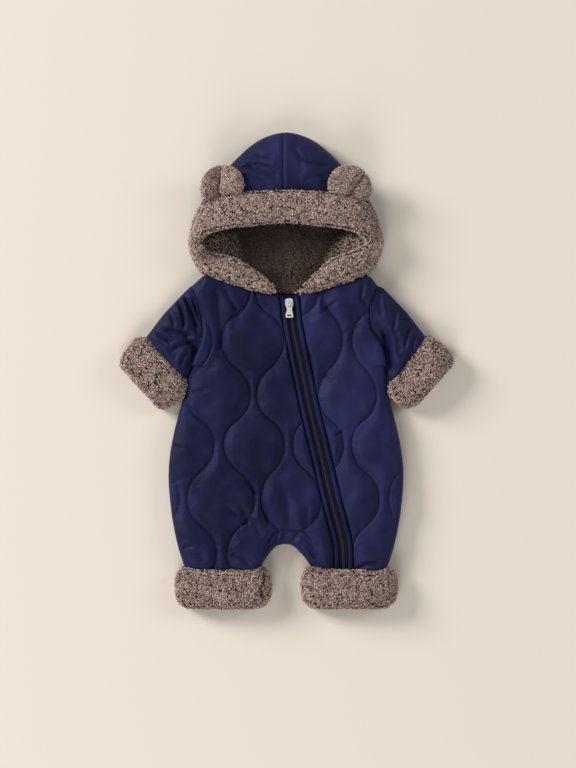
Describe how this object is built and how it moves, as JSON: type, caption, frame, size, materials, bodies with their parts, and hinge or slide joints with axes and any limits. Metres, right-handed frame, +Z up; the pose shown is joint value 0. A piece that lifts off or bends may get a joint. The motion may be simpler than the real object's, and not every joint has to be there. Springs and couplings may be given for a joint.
{
  "type": "baby snowsuit",
  "caption": "Padded one-piece suit for a baby, laid flat on its back, with a slanting front zip, a fleece-edged hood with round ears, and fleece cuffs.",
  "frame": {"origin": "centre of the overall box, on the surface that the suit lies on", "axes": "+Y from the leg cuffs to the crown of the hood, +Z up from the surface out of the front, so the wearer's left is +X"},
  "size_m": [0.4631, 0.6659, 0.055],
  "materials": {
    "back": "navy satin-weave nylon over padding",
    "front_right": "navy satin-weave nylon over padding",
    "front_left": "navy satin-weave nylon over padding",
    "sleeve_right": "navy satin-weave nylon over padding",
    "sleeve_left": "navy satin-weave nylon over padding",
    "cuff_sleeve_right": "deep pile taupe fleece",
    "cuff_sleeve_left": "deep pile taupe fleece",
    "cuff_leg_right": "deep pile taupe fleece",
    "cuff_leg_left": "deep pile taupe fleece",
    "hood_right": "navy satin-weave nylon over padding",
    "hood_left": "navy satin-weave nylon over padding",
    "hood_lining": "dark brown pile fleece",
    "hood_trim": "deep pile taupe fleece",
    "ear_right": "deep pile taupe fleece",
    "ear_left": "deep pile taupe fleece",
    "zip_tape": "woven tape with a moulded coil",
    "placket_right": "navy satin-weave nylon over padding",
    "placket_left": "navy satin-weave nylon over padding",
    "zip_slider": "bright plated metal",
    "zip_pull": "bright plated metal"
  },
  "bodies": {
    "garment": {"back": "back", "front_right": "front_right", "front_left": "front_left", "sleeve_right": "sleeve_right", "sleeve_left": "sleeve_left", "cuff_sleeve_right": "cuff_sleeve_right", "cuff_sleeve_left": "cuff_sleeve_left", "cuff_leg_right": "cuff_leg_right", "cuff_leg_left": "cuff_leg_left", "hood_right": "hood_right", "hood_left": "hood_left", "hood_lining": "hood_lining", "hood_trim": "hood_trim", "ear_right": "ear_right", "ear_left": "ear_left", "zip_tape": "zip_tape", "placket_right": "placket_right", "placket_left": "placket_left", "zip_slider": "zip_slider"},
    "pull_tab": {"zip_pull": "zip_pull"}
  },
  "joints": [
    {"name": "pull_tab_hinge", "type": "hinge", "parent": "garment", "child": "pull_tab", "pos_m": [0.00468, 0.0916, 0.0272], "axis": [-1, 0, 0], "range_deg": [0, 150]}
  ]
}
